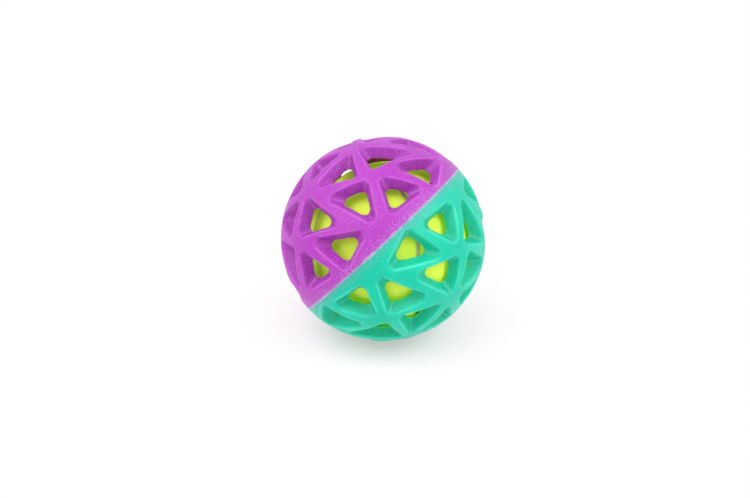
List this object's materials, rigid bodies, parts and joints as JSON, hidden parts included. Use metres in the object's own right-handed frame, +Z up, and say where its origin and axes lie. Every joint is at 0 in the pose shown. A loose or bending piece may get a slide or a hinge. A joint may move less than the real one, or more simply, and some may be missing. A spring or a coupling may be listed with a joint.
{
  "type": "squeaky dog ball",
  "caption": "Hollow two-tone rubber lattice ball with a loose felt-covered squeaker ball inside, a dog toy to throw, roll and chew.",
  "frame": {"origin": "on the floor straight under the cage's centre, the bottom middle of the bounding box", "axes": "+Z up as the ball lies in the picture, +X to the picture's right, -Y towards the picture's camera"},
  "size_m": [0.0835, 0.0838, 0.0832],
  "materials": {
    "purple_rubber": "matt, fine moulded grain",
    "teal_rubber": "matt, fine moulded grain",
    "felt": "napped felt",
    "seam_rubber": "matt",
    "core_rubber": "matt",
    "white_plastic": "satin",
    "cream_plastic": "satin",
    "clear_plastic": "clear film"
  },
  "bodies": {
    "cage": {"purple_half_cage": "purple_rubber", "teal_half_cage": "teal_rubber"},
    "ball": {"felt_panel_a": "felt", "felt_panel_b": "felt", "felt_seam": "seam_rubber", "core_half_plain": "core_rubber", "core_half_vented": "core_rubber", "squeaker_sleeve": "white_plastic", "reed_seat": "cream_plastic", "reed_clamp": "cream_plastic"},
    "reed": {"reed": "clear_plastic"}
  },
  "joints": [
    {"name": "ball_spin", "type": "hinge", "parent": "cage", "child": "ball", "pos_m": [0.00235, -0.00094, 0.0399], "axis": [0, 0, 1], "continuous": true},
    {"name": "reed_flutter", "type": "hinge", "parent": "ball", "child": "reed", "pos_m": [0.00235, -0.00692, 0.02582], "axis": [0.9379, 0.3194, -0.1356], "range_deg": [-4, 4], "stiffness_Nm_per_rad": 0.00005}
  ]
}
